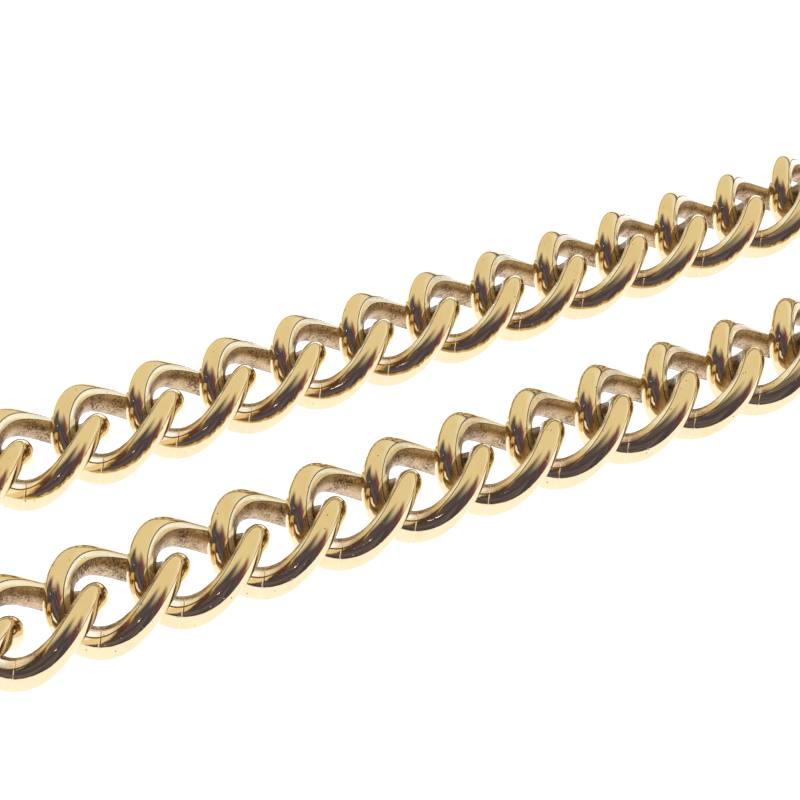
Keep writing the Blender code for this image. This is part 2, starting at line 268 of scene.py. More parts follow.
def add_mix(tree, factor, one, two, at=(0, 0), blend="MIX"):
    """A colour mix of two colours, each a socket or a colour."""
    node = add_node(tree, "ShaderNodeMix", at, data_type="RGBA", blend_type=blend)
    for socket, value in ((0, factor), (6, one), (7, two)):
        if isinstance(value, (int, float)):
            node.inputs[socket].default_value = value
        elif isinstance(value, bpy.types.NodeSocket):
            tree.links.new(value, node.inputs[socket])
        else:
            node.inputs[socket].default_value = (*value[:3], 1.0)
    return node.outputs[2]


def millimetres(tree, at=(-700, 0)):
    """The place on the piece in millimetres, as a vector that stays with it as it moves."""
    place_ = add_node(tree, "ShaderNodeTexCoord", at)
    scaled = add_node(tree, "ShaderNodeVectorMath", (at[0] + 180, at[1]), operation="SCALE",
                      sockets={"Scale": 1000.0})
    tree.links.new(place_.outputs["Object"], scaled.inputs[0])
    return scaled.outputs[0]


def handling_group():
    """Dulled patches from handling, and a few fine pits: masks over the surface, and a height."""
    group, start, end = new_group(
        "handling wear",
        [("Vector", "NodeSocketVector", None), ("Patch size", "NodeSocketFloat", 0.5),
         ("Pit size", "NodeSocketFloat", 4.0)],
        [("Patches", "NodeSocketFloat"), ("Pits", "NodeSocketFloat"), ("Height", "NodeSocketFloat")])
    broad = add_noise(group, start.outputs["Vector"], start.outputs["Patch size"], 4.0, 0.6, (-600, 200))
    patches = add_steps(group, broad, 0.44, 0.74, (-400, 200))
    cells = add_node(group, "ShaderNodeTexVoronoi", (-600, -200), feature="F1")
    group.links.new(start.outputs["Vector"], cells.inputs["Vector"])
    group.links.new(start.outputs["Pit size"], cells.inputs["Scale"])
    near = add_steps(group, cells.outputs["Distance"], 0.06, 0.16, (-400, -200), 1.0, 0.0)
    few = add_noise(group, start.outputs["Vector"], 1.3, 1.0, 0.5, (-600, -450))
    few = add_steps(group, few, 0.56, 0.62, (-400, -450))
    pits = add_math(group, "MULTIPLY", near, few, (-200, -300))
    height = add_math(group, "MULTIPLY", pits, -1.0, (0, -300))
    group.links.new(patches, end.inputs["Patches"])
    group.links.new(pits, end.inputs["Pits"])
    group.links.new(height, end.inputs["Height"])
    return group


def polish_group():
    """What a polishing wheel leaves: long faint waves, hair-fine scratches, and uneven gloss."""
    group, start, end = new_group(
        "wheel polish",
        [("Vector", "NodeSocketVector", None), ("Gloss low", "NodeSocketFloat", 0.05),
         ("Gloss high", "NodeSocketFloat", 0.15)],
        [("Waves", "NodeSocketFloat"), ("Roughness", "NodeSocketFloat")])
    waves = add_noise(group, start.outputs["Vector"], 0.9, 1.0, 0.4, (-600, 300))
    stretch = add_node(group, "ShaderNodeVectorMath", (-650, -50), operation="MULTIPLY",
                       sockets={1: (1.0, 9.0, 9.0)})
    group.links.new(start.outputs["Vector"], stretch.inputs[0])
    hairs = add_noise(group, stretch.outputs[0], 3.0, 3.0, 0.6, (-450, -50))
    fine = add_math(group, "MULTIPLY", hairs, 0.05, (-250, -50))
    height = add_math(group, "ADD", waves, fine, (-50, 100))
    gloss = add_noise(group, start.outputs["Vector"], 1.7, 5.0, 0.65, (-600, -350))
    level = add_node(group, "ShaderNodeMapRange", (-350, -350), sockets={"From Min": 0.3, "From Max": 0.7})
    group.links.new(gloss, level.inputs["Value"])
    group.links.new(start.outputs["Gloss low"], level.inputs["To Min"])
    group.links.new(start.outputs["Gloss high"], level.inputs["To Max"])
    group.links.new(height, end.inputs["Waves"])
    group.links.new(level.outputs["Result"], end.inputs["Roughness"])
    return group


def grime_group():
    """The rough skin that the wheel can't reach: grains, pits and settled dirt."""
    group, start, end = new_group(
        "unpolished skin",
        [("Vector", "NodeSocketVector", None), ("Grain", "NodeSocketFloat", 5.0)],
        [("Dirt", "NodeSocketFloat"), ("Height", "NodeSocketFloat")])
    grains = add_noise(group, start.outputs["Vector"], start.outputs["Grain"], 6.0, 0.7, (-600, 200))
    dirt = add_steps(group, grains, 0.36, 0.66, (-350, 200), 1.0, 0.0)
    broad = add_noise(group, start.outputs["Vector"], 0.8, 2.0, 0.5, (-600, -100))
    spread = add_steps(group, broad, 0.35, 0.65, (-350, -100), 0.35, 1.0)
    total = add_math(group, "MULTIPLY", dirt, spread, (-100, 50))
    group.links.new(total, end.inputs["Dirt"])
    group.links.new(grains, end.inputs["Height"])
    return group


def new_material(name, view_colour):
    """A material with its tree, its Principled shader and a group for each shared effect."""
    material = bpy.data.materials.new(name)
    material.use_nodes = True
    tree = material.node_tree
    shader = tree.nodes["Principled BSDF"]
    shader.location = (900, 0)
    tree.nodes["Material Output"].location = (1200, 0)
    material.diffuse_color = (*view_colour[:3], 1.0)
    return material, tree, shader


def place_group(tree, group, vector, at=(0, 0), **values):
    """A shared effect in a material, with its own values."""
    node = add_node(tree, "ShaderNodeGroup", at)
    node.node_tree = group
    for key, value in values.items():
        node.inputs[key.replace("_", " ")].default_value = value
    tree.links.new(vector, node.inputs["Vector"])
    return node


def add_bump(tree, height, strength, distance, at=(0, 0), normal=None):
    """A bump from a height."""
    node = add_node(tree, "ShaderNodeBump", at,
                    sockets={"Strength": strength, "Distance": distance})
    tree.links.new(height, node.inputs["Height"])
    if normal is not None:
        tree.links.new(normal, node.inputs["Normal"])
    return node.outputs["Normal"]


def polished_metal(name, groups, bright, dull, finish, gloss_low, gloss_high, ripple):
    """A polished metal with dulled patches, pits, waves and uneven gloss."""
    material, tree, shader = new_material(name, bright)
    vector = millimetres(tree)
    wear = place_group(tree, groups["handling"], vector, (-300, 200), Patch_size=0.45, Pit_size=2.2)
    polish = place_group(tree, groups["polish"], vector, (-300, -200), Gloss_low=gloss_low,
                         Gloss_high=gloss_high)
    tint = add_math(tree, "MULTIPLY", wear.outputs["Patches"], 0.35, (-50, 200))
    base = add_mix(tree, tint, bright, dull, (150, 250))
    base = add_mix(tree, wear.outputs["Pits"], base, finish.dirt_and_painted_dark, (400, 250))
    tree.links.new(base, shader.inputs["Base Color"])
    rough = add_math(tree, "ADD", polish.outputs["Roughness"],
                     add_math(tree, "MULTIPLY", wear.outputs["Pits"], 0.3, (100, -50)), (350, -50))
    tree.links.new(rough, shader.inputs["Roughness"])
    normal = add_bump(tree, polish.outputs["Waves"], ripple, 0.0001, (300, -300))
    normal = add_bump(tree, wear.outputs["Height"], 0.5, 0.00004, (550, -300), normal)
    tree.links.new(normal, shader.inputs["Normal"])
    shader.inputs["Metallic"].default_value = 1.0
    return material


def unpolished_metal(name, groups, finish, grain, depth):
    """The inner face of the wire: rough, paler where it is rubbed and dark where dirt settles."""
    material, tree, shader = new_material(name, finish.inner_light)
    vector = millimetres(tree)
    skin = place_group(tree, groups["grime"], vector, (-300, 0), Grain=grain)
    base = add_mix(tree, skin.outputs["Dirt"], finish.inner_light, finish.inner_dark, (100, 200))
    tree.links.new(base, shader.inputs["Base Color"])
    rough = add_steps(tree, skin.outputs["Dirt"], 0.0, 1.0, (100, -100), 0.28, 0.6)
    tree.links.new(rough, shader.inputs["Roughness"])
    tree.links.new(add_bump(tree, skin.outputs["Height"], 0.8, depth, (400, -300)), shader.inputs["Normal"])
    shader.inputs["Metallic"].default_value = 1.0
    return material


def make_metals(finish):
    """Every metal of the chain, by name. Made once, and found again after that."""
    names = ("polished_gold", "painted_reflection_gold", "dirt_and_painted_dark_line", "bare_gold", "solder_gold", "spring_steel")
    if all(name in bpy.data.materials for name in names):
        return {name: bpy.data.materials[name] for name in names}
    groups = {"handling": handling_group(), "polish": polish_group(), "grime": grime_group()}
    metals = {
        "polished_gold": polished_metal("polished_gold", groups, finish.gold, finish.old_gold,
                                        finish, finish.polish * 0.6, finish.polish * 1.7, finish.ripple),
        # The pale shoulder: a painted reflection of the bright floor.
        "painted_reflection_gold": polished_metal("painted_reflection_gold", groups, finish.pale_reflection, finish.gold, finish,
                                     finish.polish * 2.5, finish.polish * 4.5, finish.ripple * 0.6),
        "bare_gold": unpolished_metal("bare_gold", groups, finish, 6.5, 0.00006),
        "solder_gold": polished_metal("solder_gold", groups, finish.solder, finish.gold, finish,
                                      0.15, 0.3, 0.3),
        "spring_steel": polished_metal("spring_steel", groups, finish.steel,
                                       (0.25, 0.22, 0.19), finish, 0.2, 0.4, 0.2),
    }
    # The fine dark strips: painted dark reflection of the floor's edge beside the shoulder and painted shade at
    # the corner of the inner face, with grains of dirt in them.
    material, tree, shader = new_material("dirt_and_painted_dark_line", finish.dirt_and_painted_dark)
    vector = millimetres(tree)
    skin = place_group(tree, groups["grime"], vector, (-300, 0), Grain=4.0)
    base = add_mix(tree, skin.outputs["Dirt"], finish.old_gold, finish.dirt_and_painted_dark, (100, 200))
    base = add_mix(tree, 0.65, base, finish.dirt_and_painted_dark, (350, 200))
    tree.links.new(base, shader.inputs["Base Color"])
    tree.links.new(add_bump(tree, skin.outputs["Height"], 0.5, 0.00003, (400, -300)), shader.inputs["Normal"])
    shader.inputs["Roughness"].default_value = 0.5
    shader.inputs["Metallic"].default_value = 1.0
    metals["dirt_and_painted_dark_line"] = material
    return {name: metals[name] for name in names}


# ---------------------------------------------------------------- shapes, in millimetres

def finish_mesh(name, bm, materials, matrix):
    """Turns a bmesh in millimetres into a mesh in metres, in its place in the frame."""
    bmesh.ops.recalc_face_normals(bm, faces=bm.faces)
    bmesh.ops.transform(bm, matrix=Matrix.Scale(MM, 4) @ matrix, verts=bm.verts)
    mesh = bpy.data.meshes.new(name)
    bm.to_mesh(mesh)
    bm.free()
    for material in materials:
        mesh.materials.append(material)
    return mesh


def new_piece(name, mesh, body, nodes):
    """A visible piece that stands for its CAD nodes and moves with its body."""
    obj = bpy.data.objects.new(name, mesh)
    bpy.context.scene.collection.objects.link(obj)
    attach(obj, body)
    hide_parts(*nodes)
    return obj


def middle_of(node):
    """Middle of a CAD node's box, in millimetres."""
    low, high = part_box(node)
    return (low + high) / 2 / MM


def heading_of(arm, number):
    """Heading of one link, in radians."""
    key = {1: "attach", 2: "second"}.get(number, "run")
    return math.radians(ARM_HEADINGS[arm][key])


def placed(at, heading=0.0):
    """A matrix that turns about +Z and then moves, in millimetres."""
    return Matrix.Translation(at) @ Matrix.Rotation(heading, 4, "Z")


def oval(links, t):
    """Point of the flat link's centreline in millimetres, and the outward direction there."""
    power = 2 / links.squareness
    along, across = math.cos(t), math.sin(t)
    long_, wide = links.half_length / MM, links.half_width / MM
    x = math.copysign(abs(along) ** power, along)
    y = math.copysign(abs(across) ** power, across)
    out_x = math.copysign(abs(along) ** (2 - power), along) / long_
    out_y = math.copysign(abs(across) ** (2 - power), across) / wide
    return Vector((long_ * x, wide * y, 0.0)), Vector((out_x, out_y, 0.0)).normalized()


FACE_STEPS = 12
SHOULDER_STEPS = 5
DARK_REFLECTION_REACH = 0.3  # further in than this, a dark strip is the painted shade at the corner, which both sides have; nearer in, it is the painted dark reflection beside the shoulder


def wire_profile(links):
    """Section of the wire as (outwards, across, zone of the strip that starts there): 0 polished
    face, 1 pale shoulder beside the inner face, a painted reflection of the bright floor, 2 fine
    dark strip, a painted dark reflection of the floor's edge beside the shoulder and painted shade
    at the corner of the inner face, 3 unpolished inner face."""
    radial, axial = links.wire_radial / MM, links.wire_axial / MM
    inner = radial * (1 - links.inner_flat)
    half = []
    for i in range(FACE_STEPS):
        a = links.shoulder * i / FACE_STEPS
        half.append((radial * math.cos(a), axial * math.sin(a), 0))
    # Painted dark reflection: the fine dark strip just before the shoulder.
    a = links.shoulder - links.dark_reflection_line / MM / axial
    half.append((radial * math.cos(a), axial * math.sin(a), 2))
    # Painted reflection: the pale shoulder.
    for i in range(SHOULDER_STEPS):
        a = links.shoulder + (links.corner - links.shoulder) * i / SHOULDER_STEPS
        half.append((radial * math.cos(a), axial * math.sin(a), 1))
    rim = Vector((radial * math.cos(links.corner), axial * math.sin(links.corner)))
    # Painted shade: the dark strip at the corner of the inner face.
    half.append((rim.x, rim.y, 2))
    soft = rim + (Vector((-inner, 0.0)) - rim).normalized() * links.painted_shade_corner / MM
    half.append((soft.x - 0.012, soft.y, 3))
    for share_ in (0.7, 0.45, 0.2):
        half.append((-inner + (inner + rim.x) * share_ ** 2.1, rim.y * share_ ** 0.9, 3))
    profile = half + [(-inner, 0.0, 3)]
    back = half[1:][::-1]
    zones = [zone for _, _, zone in half][:-1][::-1]
    for (r, a, _), zone in zip(back, zones):
        on_dark_reflection_line = zone == 2 and r > -DARK_REFLECTION_REACH
        profile.append((r, -a, 0 if on_dark_reflection_line else zone))
    return profile


def link_turns(links):
    """Places round the link, in radians, with closer steps over the solder seam."""
    half = links.seam_width / MM / 2 / 3.8
    turns = [2 * math.pi * i / links.segments for i in range(links.segments)]
    turns = [t for t in turns if abs(t - links.seam_at) > half * 2.4]
    return sorted(turns + [links.seam_at + half * k for k in (-2, -1, -0.5, 0, 0.5, 1, 2)]), half


def link_points(links, swell):
    """Rings of points of one curb link, with its wire swollen at each point by a share of swell."""
    profile = wire_profile(links)
    turns, half = link_turns(links)
    long_ = links.half_length / MM
    rings = []
    for i, t in enumerate(turns):
        centre, outward = oval(links, t)
        away = abs(t - links.seam_at) / half
        rise = links.seam_height / MM * (1 - away ** 2) if away < 1 else 0.0
        ring = []
        for j, (radial, axial, _) in enumerate(profile):
            size = math.hypot(radial, axial)
            grow = (size + rise + (swell[i][j] if swell else 0.0)) / size
            point = centre + outward * radial * grow + Vector((0.0, 0.0, axial * grow))
            ring.append(Matrix.Rotation(links.twist * point.x / (2 * long_), 3, "X") @ point)
        rings.append(ring)
    return rings


def link_swell(links):
    """How far the wire can swell at each point before it would reach the next links of a taut run."""
    rings = link_points(links, None)
    count, sides = len(rings), len(rings[0])
    flat = [point for ring in rings for point in ring]
    faces = [(i * sides + j, (i + 1) % count * sides + j, (i + 1) % count * sides + (j + 1) % sides,
              i * sides + (j + 1) % sides) for i in range(count) for j in range(sides)]
    neighbours = []
    for step in (-2, -1, 1, 2):
        shift = Vector((step * links.pitch / MM, 0.0, 0.0))
        neighbours.append(BVHTree.FromPolygons([point + shift for point in flat], faces))
    limit = links.swell / MM
    room = []
    for point in flat:
        near = min(tree.find_nearest(point)[3] for tree in neighbours)
        room.append(min(limit, max(0.0, near * 0.5 - 0.015)))
    grid = [room[i * sides:(i + 1) * sides] for i in range(count)]
    for _ in range(6):
        grid = [[min(grid[i][j], (grid[i - 1][j] + grid[(i + 1) % count][j] + grid[i][j - 1]
                                  + grid[i][(j + 1) % sides] + grid[i][j] * 2) / 6)
                 for j in range(sides)] for i in range(count)]
    return grid


def link_bmesh(links, swell):
    """One curb link: an oval of wire twisted from end to end, with its arrises and solder seam."""
    profile = wire_profile(links)
    turns, half = link_turns(links)
    bm = bmesh.new()
    rings = [[bm.verts.new(point) for point in ring] for ring in link_points(links, swell)]
    count, sides = len(rings), len(profile)
    for i in range(count):
        one, two = rings[i], rings[(i + 1) % count]
        on_seam = abs(turns[i] + half * 0.25 - links.seam_at) < half * 0.8
        for j in range(sides):
            k = (j + 1) % sides
            face = bm.faces.new((one[j], two[j], two[k], one[k]))
            zone = profile[j][2]
            face.material_index = 4 if on_seam and zone in (0, 1) else zone
            face.smooth = True
    for j in range(sides):
        if {profile[j][2], profile[j - 1][2]} in ({1, 2}, {2, 3}):
            for i in range(count):
                bm.edges.get((rings[i][j], rings[(i + 1) % count][j])).smooth = False
    return bm


def bridge(bm, rings, closed):
    """Joins rings of vertices into a tube, and caps its ends if it is open."""
    count, sides = len(rings), len(rings[0])
    for i in range(count if closed else count - 1):
        one, two = rings[i], rings[(i + 1) % count]
        for j in range(sides):
            k = (j + 1) % sides
            bm.faces.new((one[j], two[j], two[k], one[k]))
    if not closed:
        bm.faces.new(rings[0])
        bm.faces.new(rings[-1][::-1])


def add_torus(bm, radius, wire, segments, sides, seam=None):
    """A round ring lying flat, with a thin raised solder seam at an angle if one is given."""
    turns = [2 * math.pi * i / segments for i in range(segments)]
    half = 0.13 / radius
    if seam is not None:
        turns = [t for t in turns if abs(t - seam) > half * 2]
        turns = sorted(turns + [seam + half * k for k in (-1.6, -1, -0.5, 0, 0.5, 1, 1.6)])
    rings = []
    for t in turns:
        rise = 0.0
        if seam is not None and abs(t - seam) < half:
            rise = 0.02 * (1 - ((t - seam) / half) ** 2)
        ring = []
        for j in range(sides):
            s = 2 * math.pi * (j + 0.5) / sides
            reach = radius + (wire + rise) * math.cos(s)
            ring.append(bm.verts.new((reach * math.cos(t), reach * math.sin(t),
                                      (wire + rise) * math.sin(s))))
        rings.append(ring)
    bridge(bm, rings, closed=True)
    if seam is not None:
        bm.faces.ensure_lookup_table()
        for i, t in enumerate(turns):
            if abs(t + half * 0.25 - seam) < half * 0.8:
                for j in range(sides):
                    bm.faces[i * sides + j].material_index = 1
    for face in bm.faces:
        face.smooth = True


def add_lathe(bm, profile, segments, axis):
    """A turned solid from (position, radius) pairs along the X, Y or Z axis."""
    rings = []
    for position, radius in profile:
        ring = []
        for i in range(segments):
            t = 2 * math.pi * (i + 0.5) / segments
            u, v = radius * math.cos(t), radius * math.sin(t)
            spot = {"X": (position, u, v), "Y": (v, position, u), "Z": (u, v, position)}[axis]
            ring.append(bm.verts.new(spot))
        rings.append(ring)
    bridge(bm, rings, closed=False)


def add_sweep(bm, path, radii, sides):
    """A round wire along a path in the XY plane, with a radius at each point."""
    rings = []
    for i, (x, y) in enumerate(path):
        before, after = Vector(path[max(i - 1, 0)]), Vector(path[min(i + 1, len(path) - 1)])
        along = (after - before).normalized()
        across = Vector((-along.y, along.x))
        ring = []
        for j in range(sides):
            s = 2 * math.pi * (j + 0.5) / sides
            shift = across * radii[i] * math.cos(s)
            ring.append(bm.verts.new((x + shift.x, y + shift.y, radii[i] * math.sin(s))))
        rings.append(ring)
    bridge(bm, rings, closed=False)


def rounded_outline(outline, cuts):
    """The outline with its corners rounded off by cutting them, over and over."""
    points = [Vector(p) for p in outline]
    for _ in range(cuts):
        fresh = []
        for i, point in enumerate(points):
            after = points[(i + 1) % len(points)]
            fresh += [point.lerp(after, 0.25), point.lerp(after, 0.75)]
        points = fresh
    return points


def add_plate(bm, outline, low, high, bevel):
    """A plate from an outline in the XY plane, with its edges rounded over."""
    count = len(outline)
    middle = sum(outline, Vector((0.0, 0.0))) / count
    steps = 4
    levels = [(low + bevel * (1 - math.cos(math.pi / 2 * i / steps)),
               bevel * (1 - math.sin(math.pi / 2 * i / steps))) for i in range(steps + 1)]
    levels += [(high - z + low, inset) for z, inset in levels[::-1]]
    rings = []
    for z, inset in levels:
        ring = []
        for point in outline:
            spot = point - (point - middle).normalized() * inset
            ring.append(bm.verts.new((spot.x, spot.y, z)))
        rings.append(ring)
    bridge(bm, rings, closed=False)


def add_box(bm, low, high):
    """A box between two corners, only ever used to cut with."""
    size = [high[i] - low[i] for i in range(3)]
    middle = [(high[i] + low[i]) / 2 for i in range(3)]
    bmesh.ops.create_cube(bm, size=1.0, matrix=Matrix.Translation(middle) @ Matrix.Diagonal((*size, 1.0)))


def shape(build, *args):
    """A new bmesh holding one added shape."""
    bm = bmesh.new()
    build(bm, *args)
    return bm


def joined_bmesh(joined, cuts=(), edge=0.0):
    """The union of closed shapes less some others, in millimetres, with its edges rounded if an edge width is
    given.
    """
    helpers = []
    for bm in (*joined, *cuts):
        bmesh.ops.recalc_face_normals(bm, faces=bm.faces)
        mesh = bpy.data.meshes.new("helper")
        bm.to_mesh(mesh)
        bm.free()
        helper = bpy.data.objects.new("helper", mesh)
        bpy.context.scene.collection.objects.link(helper)
        helpers.append(helper)
    base = helpers[0]
    for i, helper in enumerate(helpers[1:], start=1):
        modifier = base.modifiers.new(f"shape_{i}", "BOOLEAN")
        modifier.operation = "UNION" if i < len(joined) else "DIFFERENCE"
        modifier.solver = "EXACT"
        modifier.object = helper
    if edge:
        bevel = base.modifiers.new("edges", "BEVEL")
        bevel.width = edge
        bevel.segments = 3
        bevel.limit_method = "ANGLE"
        bevel.angle_limit = math.radians(32)
        bevel.miter_outer = "MITER_ARC"
    bpy.context.view_layer.update()
    graph = bpy.context.evaluated_depsgraph_get()
    mesh = bpy.data.meshes.new_from_object(base.evaluated_get(graph))
    bm = bmesh.new()
    bm.from_mesh(mesh)
    bpy.data.meshes.remove(mesh)
    for helper in helpers:
        data = helper.data
        bpy.data.objects.remove(helper, do_unlink=True)
        bpy.data.meshes.remove(data)
    bmesh.ops.dissolve_degenerate(bm, dist=0.002, edges=bm.edges)
    for face in bm.faces:
        face.smooth = True
    for line in bm.edges:
        if len(line.link_faces) == 2 and line.calc_face_angle(0.0) > math.radians(30):
            line.smooth = False
    return bm


def arc(centre, radius, start, end, steps):
    """Points of a lathe profile on an arc, as (position, radius) pairs, from degrees to degrees."""
    out = []
    for i in range(steps + 1):
        a = math.radians(start + (end - start) * i / steps)
        out.append((centre[0] + radius * math.cos(a), centre[1] + radius * math.sin(a)))
    return out


# ---------------------------------------------------------------- where the fittings lie

def jump_reach(fittings):
    """Centre ring's middle to a jump ring's, in millimetres."""
    return (fittings.ring_radius - fittings.ring_wire - fittings.slack
            - fittings.jump_wire + fittings.jump_radius) / MM


def t_bar_middle(fittings):
    """Middle of the T-bar's eye, in millimetres."""
    reach = jump_reach(fittings) + (fittings.jump_radius - fittings.jump_wire - fittings.slack) / MM
    return middle_of("centre_ring") - Vector((reach + BAR_EYE_RADIUS - BAR_EYE_WIRE, 0.0, 0.0))


def swivel_middle(arm, links, fittings):
    """Middle of a swivel's eye, and its heading."""
    turn = heading_of(arm, LINKS_PER_ARM)
    hold = (fittings.eye_radius - fittings.slack - fittings.eye_wire) / MM
    reach = links.half_length / MM - END_LINK_INSIDE + hold
    along = Vector((math.cos(turn), math.sin(turn), 0.0))
    return middle_of(f"{arm}_arm_link_{LINKS_PER_ARM:02d}") + along * reach, turn


END_LINK_INSIDE = 0.9435  # the end link's wire, from its centreline in to its inner face
BAR_EYE_RADIUS = 3.2
BAR_EYE_WIRE = 0.6
COLLAR_HALF_LENGTH = 2.4
COLLAR_RADIUS = 1.9
BAR_WAIST = 1.15
STEM_RADIUS = 0.85
STEM_END = 7.05
RIVET_RADIUS = 1.4
RIVET_START = 6.2
COLLAR_START = 3.75
COLLAR_END = 5.9
COLLAR_WIDE = 2.3
BORE_RADIUS = 1.05
WINDOW_END = 7.55
WINDOW_HALF_WIDTH = 1.75
BODY_END = 12.15
BODY_HALF_DEPTH = 1.65
BOW_CENTRE = 16.15
BOW_HALF_LENGTH = 5.4
BOW_HALF_WIDTH = 4.8
PIN_X = 10.65
PIN_Y = 3.1
PIN_RADIUS = 0.45
PIN_BORE = 0.55
GATE_TIP = (18.25, 2.35)
GATE_WIRE = 0.69


def t_bar_bmesh(fittings):
    """The turned bar: ball ends, fine turned rings, tapering arms, middle collar, and the eye."""
    end, ball = fittings.bar_half_length / MM, fittings.ball_radius / MM
    wide = fittings.bar_radius / MM
    half = [(COLLAR_HALF_LENGTH * 0.3, COLLAR_RADIUS)]
    for at in (0.55, 0.8):
        spot = COLLAR_HALF_LENGTH * at
        half += [(spot - 0.12, COLLAR_RADIUS - 0.04), (spot, COLLAR_RADIUS - 0.16),
                 (spot + 0.12, COLLAR_RADIUS - 0.06)]
    half += arc((COLLAR_HALF_LENGTH - 0.32, COLLAR_RADIUS - 0.42), 0.36, 80, 5, 5)
    half += [(COLLAR_HALF_LENGTH + 0.12, BAR_WAIST + 0.12), (COLLAR_HALF_LENGTH + 0.3, BAR_WAIST),
             (COLLAR_HALF_LENGTH + 3.0, BAR_WAIST + 0.03), (end - 6.0, BAR_WAIST + 0.1),
             (end - 4.4, wide - 0.06), (end - 4.15, wide + 0.02)]
    for at in (3.9, 3.45):
        half += arc((end - at, wide + 0.02), 0.17, 170, 10, 6)
    half += [(end - 3.2, wide - 0.02), (end - 2.7, wide - 0.1), (end - 2.2, wide - 0.05)]
    for i in range(15):
        a = math.radians(40 + (172 - 40) * i / 14)
        half.append((end - ball * math.cos(a), ball * math.sin(a)))
    profile = [(-y, r) for y, r in reversed(half)] + half
    bar = shape(add_lathe, profile, 56, "Y")
    bmesh.ops.translate(bar, vec=(-fittings.bar_offset / MM, 0.0, 0.0), verts=bar.verts)
    eye = shape(add_torus, BAR_EYE_RADIUS, BAR_EYE_WIRE, 96, 24)
    return joined_bmesh((bar, eye))


def swivel_eye_bmesh(fittings):
    """The swivel's eye with its turned stem, riveted over inside the window of the body."""
    radius, wire = fittings.eye_radius / MM, fittings.eye_wire / MM
    eye = shape(add_torus, radius, wire - fittings.play / MM, 96, 28)
    bmesh.ops.rotate(eye, matrix=Matrix.Rotation(fittings.eye_tilt, 3, "X"), verts=eye.verts)
    profile = [(radius, STEM_RADIUS), (radius + 0.55, STEM_RADIUS + 0.06), (radius + 0.8, STEM_RADIUS + 0.12),
               (radius + 0.95, STEM_RADIUS), (RIVET_START, STEM_RADIUS), (RIVET_START, RIVET_RADIUS - 0.04),
               (RIVET_START + 0.06, RIVET_RADIUS)]
    profile += [(STEM_END - 0.35, RIVET_RADIUS - 0.05), (STEM_END - 0.15, RIVET_RADIUS - 0.3),
                (STEM_END, RIVET_RADIUS - 0.75)]
    return joined_bmesh((eye, shape(add_lathe, profile, 48, "X")))


def swivel_body_bmesh(fittings):
    """The hook: turned collar, window, clevis for the gate, and the bow that ends in the nose."""
    collar = [(COLLAR_START, 1.5), (COLLAR_START + 0.08, 1.68), (COLLAR_START + 0.3, 1.8)]
    collar += arc((COLLAR_START + 0.72, COLLAR_WIDE - 0.36), 0.36, 165, 15, 8)
    collar += [(COLLAR_START + 1.12, COLLAR_WIDE - 0.34)]
    collar += arc((COLLAR_START + 1.5, COLLAR_WIDE - 0.3), 0.3, 165, 15, 8)
    collar += [(COLLAR_END + 0.2, 2.0)]
    outline = rounded_outline(
        [(COLLAR_END - 0.5, -2.1), (COLLAR_END + 0.3, -2.75), (BODY_END - 1.2, -3.05),
         (BODY_END + 0.15, -2.6), (BODY_END + 0.15, 0.9), (BODY_END, 3.5), (BODY_END - 0.6, 4.5),
         (PIN_X - 0.3, 4.75), (PIN_X - 1.5, 4.0), (COLLAR_END + 0.3, 2.75), (COLLAR_END - 0.5, 2.1)], 3)
    block = shape(add_plate, outline, -BODY_HALF_DEPTH, BODY_HALF_DEPTH, 0.45)
    steps = 84
    turns = [math.radians(205 + (430 - 205) * i / steps) for i in range(steps + 1)]
    path = [(BOW_CENTRE + BOW_HALF_LENGTH * math.cos(t), BOW_HALF_WIDTH * math.sin(t)) for t in turns]
    wire = fittings.bow_wire / MM
    radii = [wire * (1.15 - 0.2 * i / steps) for i in range(steps + 1)]
    for i, cut in enumerate((0.93, 0.8, 0.55, 0.2)):
        radii[steps - 3 + i] = wire * 0.95 * cut
    bow = shape(add_sweep, path, radii, 32)
    window = shape(add_box, (COLLAR_END, -WINDOW_HALF_WIDTH, -3.0), (WINDOW_END, WINDOW_HALF_WIDTH, 3.0))
    bore = shape(add_lathe, [(COLLAR_START - 1.0, BORE_RADIUS), (COLLAR_END + 0.5, BORE_RADIUS)], 48, "X")
    slot = shape(add_box, (PIN_X - 1.5, 1.3, -0.95), (BODY_END + 2.0, 6.0, 0.95))
    hole = shape(add_lathe, [(-3.0, PIN_BORE), (3.0, PIN_BORE)], 40, "Z")
    bmesh.ops.translate(hole, vec=(PIN_X, PIN_Y, 0.0), verts=hole.verts)
    return joined_bmesh((block, shape(add_lathe, collar, 64, "X"), bow), (window, bore, slot, hole))


def swivel_gate_bmesh():
    """The gate lever about its pin: knuckle, web, arm to the nose, and ribbed thumb button."""
    knuckle = shape(add_lathe, [(0.05, 0.92), (0.1, 1.0), (0.75, 1.0), (0.8, 0.92)], 48, "Z")
    web = shape(add_plate, rounded_outline([(0.1, -0.85), (2.3, -0.8), (2.3, 0.6), (0.1, 0.65)], 2),
                0.05, 0.8, 0.12)
    reach = Vector((GATE_TIP[0] - PIN_X, GATE_TIP[1] - PIN_Y))
    shares = [0.19 + 0.81 * i / 24 for i in range(25)]
    path = [tuple(reach * s) for s in shares]
    radii = [GATE_WIRE * min(1.0, 0.85 + (s - 0.19) * 1.4) * (1.0 - 0.15 * max(0.0, s - 0.6)) for s in shares]
    for i, cut in enumerate((0.93, 0.8, 0.45)):
        radii[22 + i] *= cut
    lever = shape(add_sweep, path, radii, 28)
    profile = [(-0.3, 0.5), (0.95, 0.45), (1.05, 0.6), (1.1, 0.82)]
    for i in range(3):
        profile += [(1.16 + i * 0.19, 0.9), (1.25 + i * 0.19, 0.84)]
    profile += [(1.72, 0.88), (1.8, 0.76), (1.85, 0.5)]
    button = shape(add_lathe, profile, 40, "Y")
    bmesh.ops.translate(button, vec=(3.0, 0.0, 0.0), verts=button.verts)
    hole = shape(add_lathe, [(-1.0, PIN_BORE), (2.0, PIN_BORE)], 40, "Z")
    return joined_bmesh((lever, web, knuckle, button), (hole,))


